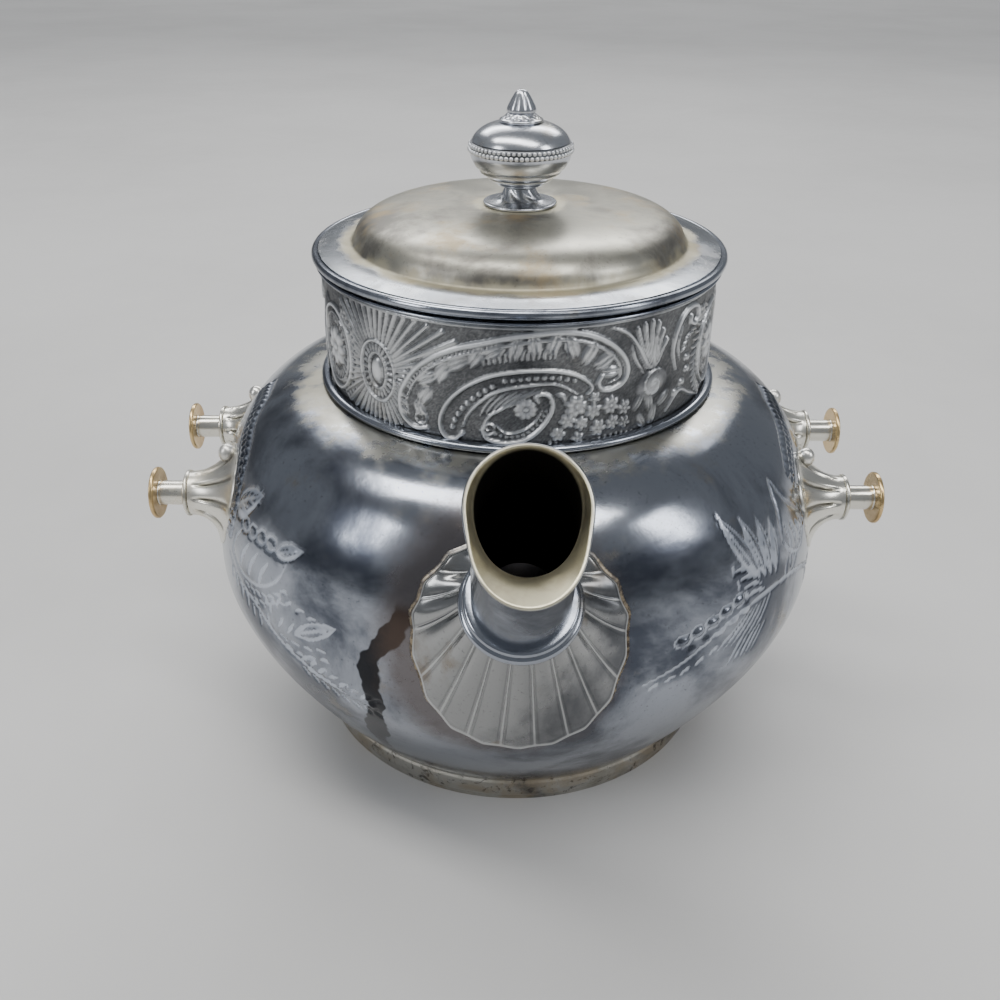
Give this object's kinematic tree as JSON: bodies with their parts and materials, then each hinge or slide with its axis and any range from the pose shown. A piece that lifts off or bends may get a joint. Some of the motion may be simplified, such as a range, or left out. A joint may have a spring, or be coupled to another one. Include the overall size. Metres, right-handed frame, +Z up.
{
  "type": "tilting silver teapot",
  "caption": "Round silver-plated pot with an embossed neck band, hinged domed lid with turned finial, fluted spout, C handle and side studs that hang it in a tilting stand.",
  "frame": {"origin": "centre of the foot ring on the table", "axes": "+Z up along the pot's axis, -Y towards the spout, +Y towards the handle, +X to the right of someone who faces the spout"},
  "size_m": [0.2084, 0.2754, 0.1862],
  "materials": {
    "silver": "tarnished polished silver plate",
    "worn_silver": "worn, warm tarnished silver plate",
    "embossed_silver": "embossed silver plate, dark in the recesses",
    "gilt_silver": "pale yellow-washed silver plate",
    "cast_silver": "cast silver plate, dark in the flutes",
    "brass": "worn brass",
    "bone": "bone heat break"
  },
  "bodies": {
    "pot": {"body": "silver", "foot_ring": "worn_silver", "neck_band": "embossed_silver", "shoulder_bead": "silver", "rim_bead": "silver", "spout_tube": "silver", "spout_lip": "gilt_silver", "spout_ring": "silver", "spout_shell": "worn_silver", "hinge_pot_leaf": "silver", "hinge_pin": "brass", "handle_grip": "silver", "handle_upper_socket": "silver", "handle_lower_socket": "silver", "handle_upper_insulator": "bone", "handle_lower_insulator": "bone", "handle_pins": "silver", "bracket_front_left": "cast_silver", "bracket_front_right": "cast_silver", "bracket_rear_left": "cast_silver", "bracket_rear_right": "cast_silver", "spool_front_left": "cast_silver", "spool_front_right": "cast_silver", "spool_rear_left": "cast_silver", "spool_rear_right": "cast_silver", "disc_front_left": "brass", "disc_front_right": "brass", "disc_rear_left": "brass", "disc_rear_right": "brass"},
    "lid": {"lid_shell": "worn_silver", "lid_edge_wire": "silver", "lid_bezel": "worn_silver", "finial_pedestal": "silver", "finial_bowl": "silver", "finial_girdle": "silver", "finial_dome": "silver", "finial_cap": "silver", "finial_bud": "silver", "finial_stud": "brass", "finial_washer": "brass", "finial_nut": "brass", "hinge_lid_leaf": "silver"}
  },
  "joints": [
    {"name": "lid_hinge", "type": "hinge", "parent": "pot", "child": "lid", "pos_m": [0, 0.059, 0.1462], "axis": [-1, 0, 0], "range_deg": [0, 100]}
  ]
}
